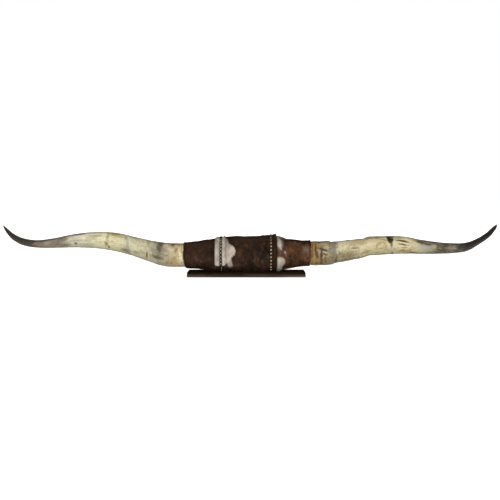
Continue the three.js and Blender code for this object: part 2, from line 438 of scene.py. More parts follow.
leftHorn = {
    "stations": [  # x, y, z and radius in millimetres, from the hidden butt to the tip
        (-159, 4, 79.6, 45.2), (-240, 0, 80.4, 46), (-309, -6, 83, 46.4), (-369, -16, 98, 40.7),
        (-429, -29, 116, 36.7), (-488, -42, 132, 35.8), (-547, -53, 140, 33.2), (-606, -61, 141, 29.5),
        (-666, -64, 137, 24.4), (-728, -60, 130, 18.9), (-791, -48, 126, 15), (-849, -30, 132.7, 13.7),
        (-891, -14, 150, 11.2), (-921, 0, 175, 6.8), (-937, 8, 194, 1.5)],
    "shape": {"Edge X": 0.24, "Lump Height": 0.0022, "Ring Height": 0.0012, "Seed": 3.0}, "lines": 0.6,
    "ground": [  # distance from the middle in millimetres, colour there
        (240, "dcca9a"), (272, "d3bd8d"), (300, "c1b48e"), (335, "b5ad8e"), (370, "d8d0ac"), (440, "dcd6b2"),
        (480, "e7ddb0"), (520, "eee5b9"), (575, "f0e8c0"), (615, "e8e1c6"), (645, "d3ccb5"), (675, "a89d8b"),
        (700, "8a7e6d"), (745, "8c8274"), (772, "7e7265"), (798, "51463d"), (822, "3a322c"), (935, "2a2521")],
    "marks": [
        mark(-639, 109, 12, 8, "37332a", 0.9, wander=5),
        mark(-634, 85, 40, 9, "8f8a76", 0.5),
        mark(-700, 20, 170, 18, "3f352f", 0.85),
        mark(-618, 32, 26, 9, "6a5644", 0.75),
        mark(-690, 62, 40, 12, "5f554a", 0.7),
        mark(-716, 98, 34, 15, "6f6052", 0.7),
        mark(-752, 88, 18, 14, "a59a8e", 0.7),
        mark(-678, 120, 30, 10, "6a6050", 0.7),
        mark(-568, 60, 46, 11, "8b8770", 0.6, tilt=-10, ragged=2.2),
        mark(-584, 82, 40, 8, "a09a80", 0.5, tilt=-14, ragged=2.0),
        mark(-600, 122, 60, 16, "a5a18a", 0.55, ragged=2.0),
        mark(-521, 50, 9, 66, "a68e56", 0.6, wander=14, ragged=2.0),
        mark(-527, 105, 13, 17, "76704f", 0.75, ragged=1.8),
        mark(-517, 128, 7, 12, "563c1e", ragged=0.6),
        mark(-497, 34, 40, 16, "a18e4e", 0.8, wander=10),
        mark(-472, 44, 26, 12, "ae9e66", 0.6, wander=10),
        mark(-454, 48, 12, 18, "807c5c", 0.55, ragged=2.0),
        mark(-455, 126, 30, 17, "6b6557", 0.8, edge=0.8, ragged=1.8),
        mark(-449, 96, 12, 34, "98937a", 0.6, ragged=2.0),
        mark(-418, 118, 20, 12, "968f66", 0.6, wander=10),
        mark(-377, 114, 6, 24, "5c3c1a", tilt=6, wander=4, ragged=0.6),
        mark(-385, 124, 7, 18, "c5a07e", 0.6, wander=4),
        mark(-370, 36, 15, 40, "ab8f6c", 0.6, wander=10),
        mark(-335, 82, 64, 52, "aaa58d", 0.6, edge=0.9, wander=24, ragged=1.8),
        mark(-331, 66, 23, 42, "4f4a3c", 0.95, edge=0.9, wander=14, ragged=1.7),
        mark(-325, 34, 18, 26, "544b3b", 0.95, edge=0.8, wander=12),
        mark(-339, 109, 42, 13, "56553f", 0.95, edge=0.8, wander=12),
        mark(-350, 82, 24, 18, "8c8473", 0.7, wander=12, ragged=1.8),
        mark(-312, 70, 24, 12, "8d886c", 0.6, ragged=2.0),
        mark(-308, 92, 24, 8, "857f60", 0.65, ragged=1.8),
        mark(-280, 30, 14, 13, "4e390f", 0.95, wander=5),
        mark(-268, 61, 9, 22, "86683a", 0.8, wander=12, grain=80),
        mark(-250, 65, 8, 13, "7c6236", 0.8),
        mark(-274, 118, 40, 22, "c9a46c", 0.7, edge=0.9, wander=14),
        mark(-287, 129, 14, 8, "a08356", 0.6),
        # painted highlight: a pale band across the front near the cuff
        mark(-249, 102, 20, 60, "fff2c8", 0.95, edge=0.8),
        mark(-264, 14, 56, 22, "7d6438", 0.6, edge=0.9),
        mark(-247, 60, 5, 40, "8a6c40", 0.6, wander=8),
    ],
}
rightHorn = {
    "stations": [
        (169, 4, 86.2, 45.4), (249, 0, 87.4, 46.6), (317, -6, 89, 46.8), (335, -9, 91.6, 43),
        (428, -24, 106.4, 38.4), (457, -30, 113, 35.6), (476, -34, 117.8, 37.6), (546, -47, 121.4, 35.5),
        (598, -54, 122, 34), (650, -60, 117, 28.6), (718, -62, 112, 23.4), (780, -54, 110.2, 20),
        (836, -42, 114.4, 17), (886, -26, 134.3, 12.5), (928, -10, 159, 11), (954, 2, 182.6, 7.4),
        (967, 8, 198, 1.5)],
    "shape": {"Edge X": 0.249, "Lump Height": 0.0034, "Ring Height": 0.0026, "Seed": 11.0}, "lines": 0.85,
    "ground": [
        (248, "a98848"), (262, "a5864e"), (278, "a08050"), (300, "96825a"), (318, "958866"), (330, "928a7a"),
        (341, "9b9480"), (349, "e2d8ae"), (395, "e9dbb1"), (450, "e2d4a9"), (500, "dacd9e"), (560, "e4d7a9"),
        (600, "e8daae"), (640, "d6cba0"), (664, "afaa91"), (694, "a69f87"), (704, "8a7f68"), (722, "5c5240"),
        (752, "574c3e"), (772, "695d4d"), (800, "4c4135"), (822, "302a25"), (862, "25211f"), (967, "1e1b1a")],
    "marks": [
        mark(253, 96, 7, 150, "6b4a1c", 0.85, grain=60),
        mark(265, 90, 7, 130, "6b4a1c", 0.85, grain=60),
        mark(285, 104, 8, 110, "4d3514", 0.85, grain=60),
        mark(263, 72, 8, 26, "4a3411", wander=12, grain=90, ragged=0.6),
        mark(270, 98, 11, 26, "2c1a02", wander=14, grain=90, ragged=0.6),
        mark(267, 84, 8, 18, "4c3210", wander=12, grain=90, ragged=0.6),
        mark(286, 102, 9, 50, "422c0b", wander=14, grain=80, ragged=0.6),
        mark(269, 141, 14, 8, "432a10", wander=5),
        mark(289, 141, 15, 7, "432f14", wander=5),
        mark(292, 70, 40, 10, "2b1f0b", tilt=19, ragged=0.6),
        mark(299, 92, 26, 7, "514020", 0.95, tilt=16, wander=8, ragged=0.8),
        mark(301, 116, 8, 36, "6c5229", 0.85, wander=16, grain=80),
        mark(302, 34, 44, 40, "a08d66", 0.75, edge=0.8),
        mark(279, 44, 14, 24, "c09a6c", 0.6, wander=8),
        mark(277, 28, 12, 11, "523a1e", 0.9, wander=5),
        mark(276, 83, 9, 30, "b38f6e", 0.7, wander=10, grain=80),
        mark(281, 122, 9, 26, "a6815a", 0.6, wander=10, grain=80),
        mark(258, 120, 24, 32, "b5955c", 0.6),
        mark(335, 40, 20, 40, "867b66", 0.65, edge=0.9, wander=10),
        mark(330, 118, 26, 40, "8a7e60", 0.6, wander=12),
        mark(344, 113, 10, 14, "5f5430", 0.8, wander=8),
        mark(343, 136, 12, 20, "48392a", 0.9, wander=8),
        mark(372, 150, 70, 15, "4a3a28", 0.8, wander=20),
        mark(420, 150, 90, 8, "54442e", 0.8, wander=20, ragged=2.4),
        mark(384, 118, 66, 44, "7d6c46", 0.8, edge=0.9, wander=30, ragged=2.8),
        mark(358, 106, 32, 26, "857d5a", 0.6, wander=10, ragged=2.2),
        mark(385, 16, 19, 13, "40331b", 0.95),
        mark(412, 80, 27, 4.6, "6d542c", tilt=5, wander=4, ragged=0.6),
        mark(428, 47, 80, 24, "b0966a", 0.65, edge=0.9, wander=14),
        mark(452, 118, 34, 14, "a29a72", 0.7, wander=12),
        mark(460, 28, 18, 14, "8b7b4a", 0.7, wander=10),
        mark(490, 32, 74, 9, "7d683f", 0.8, tilt=-4, wander=10),
        mark(520, 52, 44, 6, "96804f", 0.7, tilt=14, wander=10),
        mark(511, 104, 30, 6, "9a8350", 0.7, tilt=-8, wander=18, ragged=2.2),
        mark(494, 88, 7, 24, "a08a58", 0.6, tilt=20, wander=18, ragged=2.2),
        mark(524, 84, 9, 22, "a08a58", 0.55, tilt=-24, wander=18, ragged=2.2),
        mark(542, 10, 27, 60, "14100d", edge=0.25, wander=7, ragged=0.6),
        mark(543, 45, 24, 36, "14100d", edge=0.25, wander=7, ragged=0.6),
        mark(546, 78, 9, 26, "4d4438", 0.85),
        mark(551, 147, 10, 13, "3f2f18", wander=5, ragged=0.6),
        mark(571, 40, 44, 9, "a3926c", 0.6, wander=8),
        mark(587, 60, 52, 7.5, "3d2b18", tilt=8, wander=5),
        mark(588, 83, 34, 6, "5d4624", tilt=9, wander=5),
        mark(594, 102, 22, 4, "927a4c", 0.8, wander=5),
        mark(594, 126, 46, 9, "a17f45", 0.75, wander=8),
        mark(624, 141, 44, 10, "7d5e30", 0.9, wander=8),
        mark(690, 158, 120, 12, "362f26", 0.9, wander=8),
        mark(667, 54, 64, 13, "3e2d20", tilt=10),
        mark(690, 30, 90, 10, "4a3d30", 0.8),
        mark(671, 98, 54, 26, "b8b5a0", 0.7, wander=14, ragged=2.0),
        mark(706, 76, 17, 15, "bcae94", 0.85),
        mark(746, 52, 30, 12, "392f26", 0.85),
        mark(732, 104, 24, 16, "4f4638", 0.8),
        mark(752, 130, 90, 9, "3a342a", 0.85),
        mark(776, 84, 36, 14, "9a8b7d", 0.7, wander=8),
    ],
}


def makeHornTree():
    inputs = {"Geometry": "Geometry", "Steps": 430, "Sides": 96,
              "Edge X": 0.24, "Ring Pitch": 0.021, "Ring Height": 0.001,
              "Ring Fade": 0.42, "Lump Size": 0.045, "Lump Height": 0.002,
              "Fibre Height": 0.00035, "Tip Round": 0.007, "Seed": 0.0,
              "Full Girth": 0.045, "Material": "Material"}
    tree, given = newTree("hornSweep", "GeometryNodeTree", inputs, {"Geometry": "Geometry"})
    curve = wire(tree, "GeometryNodeMeshToCurve", {0: given["Geometry"]})
    curve = wire(tree, "GeometryNodeCurveSplineType", {0: curve}, spline_type="CATMULL_ROM")
    curve = wire(tree, "GeometryNodeResampleCurve", {"Curve": curve, "Count": given["Steps"]})
    girth = named(tree, "girth")
    # the last few millimetres close in a round tip
    run = wire(tree, "GeometryNodeSplineParameter", None, "Length")
    whole = wire(tree, "GeometryNodeSplineLength", None, "Length")
    toTip = calc("MINIMUM", (whole - run) / given["Tip Round"] + 0.02, 1.0)
    radius = girth * calc("SQRT", toTip * 2.0 - toTip * toTip)
    position = wire(tree, "GeometryNodeInputPosition")
    curve = store(curve, "axisPoint", position, "FLOAT_VECTOR")
    profile = wire(tree, "GeometryNodeCurvePrimitiveCircle", {"Resolution": given["Sides"], "Radius": 1.0})
    skin = wire(tree, "GeometryNodeCurveToMesh", {
        "Curve": curve, "Profile Curve": profile, "Scale": radius, "Fill Caps": True})
    # the same horn laid out straight, on which rings and colours are placed
    axisPoint = named(tree, "axisPoint", "FLOAT_VECTOR")
    offset = vecCalc("SUBTRACT", position, axisPoint)
    aside, up = axes(offset)[1:]
    straight = combine(tree, {0: axes(position)[0], 1: aside * -1.0, 2: up})
    skin = store(skin, "straight", straight, "FLOAT_VECTOR")
    seeded = vecCalc("ADD", named(tree, "straight", "FLOAT_VECTOR"), combine(tree, {2: given["Seed"]}))
    slender = girth / given["Full Girth"]
    beyond = calc("ABSOLUTE", axes(axisPoint)[0]) - given["Edge X"]
    # growth rings: uneven steps along the horn that bend a little round it
    ring = grain(seeded, 1.0 / given["Ring Pitch"], 1.0, (1.0, 0.25, 0.25), 0.5) - 0.5
    ring = ring * (given["Ring Height"] * 2.4) * remap(beyond, 0.0, given["Ring Fade"], 1.0, 0.0)
    lump = grain(seeded, 1.0 / given["Lump Size"], 3.0, roughness=0.5) - 0.5
    lump = lump * (given["Lump Height"] * slender)
    fibre = (grain(seeded, 170.0, 2.0, (0.06, 1.0, 1.0)) - 0.5) * given["Fibre Height"]
    shown = remap(beyond, -0.004, 0.012) * calc("MINIMUM", slender, 1.0)
    relief = scaled(vecCalc("NORMALIZE", offset), (ring + lump + fibre) * shown)
    skin = wire(tree, "GeometryNodeSetPosition", {"Geometry": skin, "Offset": relief})
    skin = wire(tree, "GeometryNodeSetShadeSmooth", {0: skin})
    return endGeometry(skin, given["Material"])


# name, size in millimetres, stretch, range of the noise, share, colour, part of the horn
hornClouds = [  # broad clouds of colour
    ("pale", 38, (0.7, 1, 1), (0.50, 0.72), 0.6, "eee6c4", "cream"),
    ("tan", 26, (0.6, 1, 1), (0.54, 0.74), 0.6, "b99c66", "cream"),
    ("smoke", 21, (0.45, 1.2, 0.8), (0.54, 0.74), 0.5, "6b6254", "lively"),
    ("bleach", 8, (0.7, 1.1, 0.9), (0.54, 0.72), 0.4, "f0e8cc", "cream")]
hornFibres = [  # finer marks that lie over the stains too
    ("ash", 6, (0.4, 1, 1), (0.50, 0.62), 0.5, "a59b84", "grey"),
    ("mottle", 10, (0.7, 1, 1), (0.52, 0.70), 0.42, "84764f", "cream"),
    ("fibre", 4.8, (0.06, 1, 1), (0.50, 0.80), 0.5, "83744f", "lively"),
    ("speck", 5.5, (0.7, 1, 1), (0.60, 0.70), 0.6, "57431f", "lively")]
hornLook = {"rimAgeAndShade": "4f402e", "line": "6d5a36",
            "mark": {"edge": 0.6, "wander": 6, "grain": 120, "ragged": 1.2}}
hornInputs = {"Straight": "Vector", "Seed": 0.0, "Base": "Color",
              "Lines": 0.6}


def hornSides(given):
    # place for the noise, distance out from the middle, and level from 1 on top to -1 below
    straight = given["Straight"]
    side = vecCalc("ADD", straight, combine(straight.tree, {2: given["Seed"]}))
    x, front, up = axes(straight)
    level = up / calc("MAXIMUM", lengthOf(front, up), 0.0005)
    return side, calc("ABSOLUTE", x), level


def layColours(side, distance, look, layers):
    parts = {"cream": remap(distance, 0.64, 0.80, 1.0, 0.0),
             "grey": remap(distance, 0.64, 0.70) * remap(distance, 0.78, 0.84, 1.0, 0.0),
             "lively": remap(distance, 0.76, 0.85, 1.0, 0.12)}
    masks = {}
    for name, size, stretch, (low, high), share, tone, part in layers:
        masks[name] = remap(grain(side, 1000 / size, 4.0, stretch), low, high)
        look = blendColour(masks[name] * share * parts[part], look, colour(tone))
    return look, masks


def makePlaceGroup():
    # distance out, frayed along the fibres and further on along the top
    tree, given = newTree("hornPlace", "ShaderNodeTree", hornInputs, {"Place": "Float"})
    side, distance, level = hornSides(given)
    fray = (grain(side, 60.0, 4.0, (0.2, 1, 1)) - 0.5) * remap(distance, 0.3, 0.6, 0.03, 0.11)
    onTop = remap(level, 0.5, 1.0) * remap(distance, 0.55, 0.65, 0.0, 0.05)
    return endTree(tree, Place=distance + fray + onTop)


def makeCloudGroup():
    tree, given = newTree("hornCloud", "ShaderNodeTree", hornInputs, {"Colour": "Color"})
    side, distance = hornSides(given)[:2]
    return endTree(tree, Colour=layColours(side, distance, given["Base"], hornClouds)[0])


def makeFibreGroup():
    outputs = {"Colour": "Color", "Gloss": "Float", "Height": "Float"}
    tree, given = newTree("hornFibre", "ShaderNodeTree", hornInputs, outputs)
    side, distance, level = hornSides(given)
    look, masks = layColours(side, distance, given["Base"], hornFibres)
    # growth lines run across near the cover
    lines = remap(grain(side, 170.0, 4.0, (1, 0.14, 0.14)), 0.50, 0.70)
    lines = lines * remap(distance, 0.25, 0.50, 1.0, 0.1)
    look = blendColour(lines * given["Lines"], look, colour(hornLook["line"]))
    # age and painted shade darken the top and the underside: part is the horn's own aging, part is shade
    # painted at those edges
    patchy = (grain(side, 45.0, 4.0, (0.4, 1, 1)) - 0.5) * 0.5
    worn = remap(calc("ABSOLUTE", level) + patchy, 0.74, 1.06, 0.0, 0.6)
    look = blendColour(worn, look, colour(hornLook["rimAgeAndShade"]))
    gloss = remap(grain(side, 60.0, 3.0, (0.3, 1, 1)), 0.3, 0.7, 0.36, 0.58)
    height = masks["fibre"] - (lines * 0.7 + masks["speck"] * 0.6)
    return endTree(tree, Colour=look, Gloss=gloss, Height=height)


placeGroup = makePlaceGroup()
cloudGroup = makeCloudGroup()
fibreGroup = makeFibreGroup()


def rampColour(value, stops):
    # colours at a few places along the horn, given in millimetres
    low, high = stops[0][0], stops[-1][0]
    share = (value - low * mm) / ((high - low) * mm)
    node = addNode(value.tree, "ShaderNodeValToRGB", {0: share})
    elements = node.color_ramp.elements
    while len(elements) < len(stops):
        elements.new(0.5)
    for element, (place, code) in zip(elements, stops):
        element.position = (place - low) / (high - low)
        element.color = colour(code)
    return Wire(value.tree, node.outputs[0])


def makeHornMaterial(name, horn):
    material, tree = newMaterial(name)
    straight = readAttribute(tree, "straight")
    given = {"Straight": straight, "Seed": horn["shape"]["Seed"], "Lines": horn["lines"]}
    base = rampColour(useGroup(tree, placeGroup, given)["Place"], horn["ground"])
    base = useGroup(tree, cloudGroup, dict(given, Base=base))["Colour"]
    for spot in horn["marks"]:
        base = blendColour(markMask(straight, dict(hornLook["mark"], **spot)), base, colour(spot["tone"]))
    surface = useGroup(tree, fibreGroup, dict(given, Base=base))
    normal = bump(surface["Height"], 0.5, 0.0008)
    return setSurface(material, surface["Colour"], surface["Gloss"], 0.3, normal)


hornTree = makeHornTree()


def makeHorn(name, node, horn):
    stations = np.array(horn["stations"], float) * mm
    line = lineObject(stations[:, :3], {"girth": stations[:, 3]})
    values = dict(horn["shape"], Material=makeHornMaterial(name + "Horn", horn))
    piece = nodesToMesh(name, line, hornTree, values)
    dropObject(line)
    outward(piece)
    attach(piece, "root")
    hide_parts(node)


makeHorn("leftHorn", "left_horn", leftHorn)
makeHorn("rightHorn", "right_horn", rightHorn)
print("horns swept")


# hide cover: three stuffed panels, each a skin with short hair lying on it

cover = {  # x, top and bottom in millimetres
    "left": [(-239, 129, 30.5), (-217, 131, 29.3), (-186, 134.2, 27.8), (-155, 138.8, 22.4), (-124, 144, 15),
             (-99, 148.5, 12), (-63, 152.7, 11), (14, 152.7, 11), (46, 153.6, 11), (68, 157.5, 11),
             (116.5, 158.5, 11)],
    "right": [(116.5, 156, 14), (137, 149.6, 22), (153, 142.6, 26.6), (168, 141.1, 28.5), (199, 137.4, 34.3),
              (230, 137, 37.4), (246, 136.9, 37.8)],
    "depth": 0.985, "skinDepth": 2.6, "lump": 1.5, "seamPull": 2.2, "overBoard": 0.4,
}


def coverSpan(outline, x):
    # height of the middle line, and half the height of the cover
    knots, tops, bottoms = np.array(cover[outline], float).T
    top, bottom = throughPoints(knots, tops, x), throughPoints(knots, bottoms, x)
    return (top + bottom) / 2, (top - bottom) / 2


def coverPoint(outline, x, turn, lift):
    # x and lift in millimetres, turn in degrees from the top towards the front
    middle, half = coverSpan(outline, x)
    angle = np.radians(turn)
    y = -np.sin(angle) * (half * cover["depth"] + lift)
    z = np.maximum(middle + np.cos(angle) * (half + lift), boardTop / mm + cover["overBoard"])
    return np.stack([np.broadcast_to(x, z.shape), y, z], -1) * mm


def straighten(outline, points):
    # places on the cover as if its middle line were straight, front and up measured from that line
    middle = coverSpan(outline, points[:, 0] / mm)[0] * mm
    return np.stack([points[:, 0], -points[:, 1], points[:, 2] - middle], -1)


def lumpAt(points, scale, seed):
    return np.array([noise.noise(Vector(p) * scale + Vector((seed, 0, 0))) for p in points])


leftCuff = {"outline": "left", "from": -96.7, "to": -239, "seed": 4, "horn": leftHorn, "tuck": 8,
            "bare": (-117, -96), "brown": ("150d08", "3f2c1e", "75533f"),
            "patches": [
                mark(-180, 126, 140, 40, "160f0a", 0.75),
                mark(-180, 22, 120, 50, "7a5a44", 0.7),
                mark(-192, 78, 74, 60, "5a3d30", 0.6),
                mark(-150, 56, 50, 40, "4f342a", 0.5),
                mark(-120, 80, 40, 110, "1e150f", 0.6),
                mark(-216, 110, 40, 36, "1d1516", 0.5)]}
centreHide = {"outline": "left", "from": -96.3, "to": 116.3, "seed": 9, "horn": None,
              "bare": (-97, -82, 91, 117), "brown": ("120b07", "38271b", "6d4b38"),
              "edges": [("white", [
                  (-180, -140), (-140, -110), (-120, -62), (-80, -44), (-40, -70), (0, -84), (20, -82),
                  (26, -76), (40, -71), (49, -67), (56, -58), (60, -51), (69, -45), (79, -44), (84, -46),
                  (88, -50), (93, -55), (99, -59), (106, -60), (113, -66), (118, -100), (180, -140)])],
              "patches": [
                  mark(-64, 118, 18, 26),
                  mark(-64, 119, 20, 28, "a8887a", 0.85, edge=0.6),
                  # painted shade: the crease along the white band's right edge
                  mark(-79.5, 74, 6, 84, "4f453a", 0.9, edge=0.8),
                  mark(20, 20, 170, 60, "7a5a44", 0.75),
                  mark(14, 134, 200, 40, "160f0a", 0.6),
                  mark(-47, 104, 22, 22, "4f351c", 0.8, edge=0.8),
                  mark(-60, 36, 34, 30, "543820", 0.7, edge=0.8),
                  mark(-26, 76, 30, 56, "5a3e30", 0.6),
                  mark(14, 60, 60, 50, "402b22", 0.5),
                  mark(54, 92, 70, 80, "1b1411", 0.5)]}
rightCuff = {"outline": "right", "from": 116.8, "to": 246, "seed": 14, "horn": rightHorn, "tuck": 5.5,
             "bare": (116, 116.2), "brown": ("26170c", "61402a", "9c7252"),
             "edges": [
                 ("white", [
                     (-180, 100), (-140, 100), (-112, 140), (-75, 152), (-40, 110), (-20, 118),
                     (-6, 138), (4, 150), (12, 157), (17, 148), (22, 129), (28, 127), (38, 128),
                     (46, 129), (57, 130), (66, 131), (71, 131), (75, 129), (78, 100), (95, 100),
                     (97.5, 124), (100, 137), (105, 141), (112, 144), (120, 143), (128, 140), (134, 137),
                     (154, 134), (165, 128), (172, 100), (180, 100)]),
                 ("brown", [
                     (-180, 90), (54, 90), (58.5, 112), (61, 117), (65, 121.5), (70, 126), (74.5, 130.5),
                     (77, 134), (79, 140), (91, 140), (94, 118), (97, 90), (180, 90)])],
             "patches": [
                 mark(182, 60, 60, 50, "744f34", 0.7),
                 mark(177, 106, 60, 34, "3a281b", 0.7),
                 mark(206, 50, 24, 26, "2c1d18", 0.7),
                 mark(224, 64, 20, 26, "a89c8e", 0.75),
                 mark(226, 106, 40, 30, "5f4124", 0.6),
                 mark(126, 85, 26, 22, "8a6350", 0.8, edge=0.8),
                 mark(148, 10, 30, 16, "85786b", 0.6),
                 mark(125, 45, 22, 60, "fffaf0", 0.6, edge=0.6),
                 mark(145, 80, 8, 8, strength=0.9, wander=3),
                 mark(145, 80, 12, 12, "b98f7c", 0.5, edge=0.12, wander=3),
                 mark(180, -120, 50, 26, tilt=20)]}
hairLook = {"white": ("bfb1a5", "dfd1c2", "f5ede1"), "width": 0.8, "length": 14.0, "density": 620000,
            "lift": (5, 17), "halfTurn": 6,
            "mark": {"wander": 10, "grain": 80, "ragged": 0.2}, "softEdge": 0.9, "whiteEdge": 0.12}


def makeHairGroup():
    # dark to light by the hair's own shade and by the lock and tuft it lies in
    inputs = {"Straight": "Vector", "Shade": 0.5, "Low": "Color",
              "Middle": "Color", "High": "Color"}
    tree, given = newTree("hairTone", "ShaderNodeTree", inputs, {"Colour": "Color"})
    lock = remap(grain(given["Straight"], 38.0, 4.0), 0.36, 0.66, 0.0, 0.46)
    tuft = remap(grain(given["Straight"], 110.0, 3.0), 0.32, 0.70, 0.0, 0.30)
    tone = given["Shade"] * 0.24 + (lock + tuft)
    below = blendColour(remap(tone, 0.12, 0.48), given["Low"], given["Middle"])
    return endTree(tree, Colour=blendColour(remap(tone, 0.50, 0.92), below, given["High"]))


hairGroup = makeHairGroup()


def hairTone(straight, shade, tones):
    low, middle, high = [colour(t) for t in tones]
    given = {"Straight": straight, "Shade": shade, "Low": low, "Middle": middle, "High": high}
    return useGroup(straight.tree, hairGroup, given)["Colour"]


def turnCurve(straight, points):
    # a limit along x that changes round the cover, as a curve over the turn
    x, front, up = axes(straight)
    share = calc("ARCTAN2", front, up) * (0.5 / math.pi) + 0.5
    node = addNode(straight.tree, "ShaderNodeFloatCurve", {"Value": share})
    curve = node.mapping.curves[0]
    limits = [limit for turn, limit in points]
    low, reach = min(limits), max(limits) - min(limits)
    while len(curve.points) < len(points):
        curve.points.new(0.5, 0.5)
    for point, (turn, limit) in zip(curve.points, points):
        point.location = (turn / 360 + 0.5, (limit - low) / reach)
        point.handle_type = "AUTO_CLAMPED"
    node.mapping.update()
    return Wire(straight.tree, node.outputs[0]) * (reach * mm) + low * mm - x


def makeHideMaterial(name, panel):
    material, tree = newMaterial(name)
    # hairs lie down from their roots, so the pattern starts half a hair higher
    straight = wire(tree, "ShaderNodeVectorRotate", {
        "Vector": readAttribute(tree, "straight"), "Angle": -math.radians(hairLook["halfTurn"])},
        rotation_type="X_AXIS")
    shade = readAttribute(tree, "shade", "Fac")
    tones = {"brown": hairTone(straight, shade, panel["brown"]),
             "white": hairTone(straight, shade, hairLook["white"])}
    look = tones["brown"]
    for tone, points in panel.get("edges", []):
        inside = (grain(straight, 75.0, 3.0) - 0.5) * 0.008 + turnCurve(straight, points)
        look = blendColour(remap(inside, -0.0015, 0.0015), look, tones[tone])
    for patch in panel["patches"]:
        toned = blendColour(0.45, colour(patch["tone"]), look) if patch["tone"] else tones["white"]
        edge = hairLook["softEdge" if patch["tone"] else "whiteEdge"]
        look = blendColour(markMask(straight, {"edge": edge, **hairLook["mark"], **patch}), look, toned)
    return setSurface(material, look, 0.7, 0.12)


def hornSocket(horn, x):
    # centre and radius of the horn's butt, a little enlarged
    butt, mouth = np.array(horn["stations"][:2], float)
    share = np.clip((x - butt[0]) / (mouth[0] - butt[0]), 0, 1)
    return butt[1:] + (mouth[1:] - butt[1:]) * share + np.array([0, 0, 0.5])


def makeSkin(name, panel, material):
    columns, around = 56, 144
    outline, start, end, bare = panel["outline"], panel["from"], panel["to"], panel["bare"]
    depth, seed = cover["skinDepth"], panel["seed"]
    turn = np.arange(around) * 360 / around
    angle = np.radians(turn)
    way = 1 if end > start else -1
    tuck = -way * panel.get("tuck", 0) * np.maximum(0, -np.cos(angle)) * mm  # the mouth is drawn in below
    rings, hairy = [], []
    for i, x in enumerate(np.linspace(start, end - way * 1.4, columns)):
        pull = cover["seamPull"] * math.exp(-abs(x - start) / 5)
        if panel["horn"] is None:
            pull += cover["seamPull"] * math.exp(-abs(x - end) / 5)
        base = coverPoint(outline, x, turn, -depth)
        lumps = lumpAt(base, 24, seed) * cover["lump"] + lumpAt(base, 70, seed) * 0.5
        ring = coverPoint(outline, x, turn, -depth - pull + lumps * min(1, 0.15 + i / 12))
        ring[:, 0] += tuck * i / (columns - 1)
        rings.append(ring)
        covered = any(a < x < b for a, b in zip(bare[::2], bare[1::2]))
        hairy.append(np.where((ring[:, 2] > boardTop + 0.0012) & (not covered), 1.0, 0.0))
    if panel["horn"]:
        # a rolled lip at the mouth, then the socket that the butt fills
        buttX = panel["horn"]["stations"][0][0] - way * 0.5
        lips = ((end, 0.8, 1), (end, 0.3, 1), (end - way * 1.2, 0, 1), (end - way * 20, 0, 0), (buttX, 0, 0))
        for x, lip, drawn in lips:
            y, z, radius = hornSocket(panel["horn"], x)
            socket = [np.full(around, x), y - np.sin(angle) * radius, z + np.cos(angle) * radius]
            edge = coverPoint(outline, x, turn, -depth * 0.6)
            ring = np.stack(socket, -1) * mm * (1 - lip) + edge * lip
            ring[:, 0] += tuck * drawn
            rings.append(ring)
            hairy.append(np.zeros(around))
    points = np.concatenate(rings)
    faces = gridFaces(len(rings), around)
    # close both ends with a fan
    for ringIndex in (0, len(rings) - 1):
        centre, first = len(points), ringIndex * around
        points = np.vstack([points, rings[ringIndex].mean(0)])
        faces += [(first + j, first + (j + 1) % around, centre) for j in range(around)]
    piece = meshObject(name, points, faces, material)
    outward(piece)
    addAttributes(piece.data, {"straight": straighten(outline, points), "shade": np.full(len(points), 0.1),
                               "hairy": np.append(np.concatenate(hairy), [0, 0])})
    return piece


def makeHairTree():
    inputs = {"Geometry": "Geometry", "Density": 1000.0, "Seed": 1,
              "Hair Length": 0.014, "Hair Width": 0.0008, "Slant": 0.3,
              "Swirl": 1.0, "Lift Low": 0.1, "Lift High": 0.3,
              "Blade": "Object", "Material": "Material"}
    tree, given = newTree("lyingHair", "GeometryNodeTree", inputs, {"Geometry": "Geometry"})
    seed = given["Seed"]
    spread = addNode(tree, "GeometryNodeDistributePointsOnFaces", {
        "Mesh": given["Geometry"], "Selection": calc("GREATER_THAN", named(tree, "hairy"), 0.99),
        "Density": given["Density"], "Seed": seed}, distribute_method="RANDOM").outputs
    normal = Wire(tree, spread["Normal"])
    points = store(Wire(tree, spread["Points"]), "shade", randomBetween(0.0, 1.0, seed + 5.0))
    # hair lies round the cover, down in front, with a slant and slow swirls
    swirl = scaled(strayVector(wire(tree, "GeometryNodeInputPosition"), 26.0), given["Swirl"])
    slant = combine(tree, {0: given["Slant"] + randomBetween(-0.25, 0.25, seed + 3.0)})
    lie = vecCalc("ADD", vecCalc("ADD", vecCalc("CROSS_PRODUCT", (1, 0, 0), normal), swirl), slant)
    lift = randomBetween(given["Lift Low"], given["Lift High"], seed + 7.0)
    length = given["Hair Length"] * randomBetween(0.65, 1.1, seed + 11.0)
    size = combine(tree, {0: given["Hair Width"], 1: length, 2: length})
    hairs = copiesOn(points, given["Blade"], faceAndTurn(normal, lie, {0: lift}), size)
    return endGeometry(hairs, given["Material"])


hairTree = makeHairTree()


def makeBlade():
    # one hair of unit length: a ribbon that arches and narrows to a point
    points = [(-0.5, 0, 0), (0.5, 0, 0), (0.42, 0.55, 0.045), (-0.42, 0.55, 0.045), (0, 1, 0)]
    return meshObject("hairBlade", points, [(0, 1, 2, 3), (3, 2, 4)])


blade = makeBlade()


def mapHairs(hair):
    # a small cell of its own for each hair on the map that colours are baked to
    count = len(hair.data.polygons) // 2
    cells = math.ceil(math.sqrt(count))
    corners = np.array([(0.1, 0.1), (0.9, 0.1), (0.9, 0.5), (0.1, 0.5), (0.1, 0.5), (0.9, 0.5), (0.5, 0.9)])
    cell = np.stack([np.arange(count) % cells, np.arange(count) // cells], -1)
    places = (cell[:, None] + corners[None]) / cells
    hair.data.uv_layers.new(name="OFBake").uv.foreach_set("vector", places.astype(np.float32).ravel())


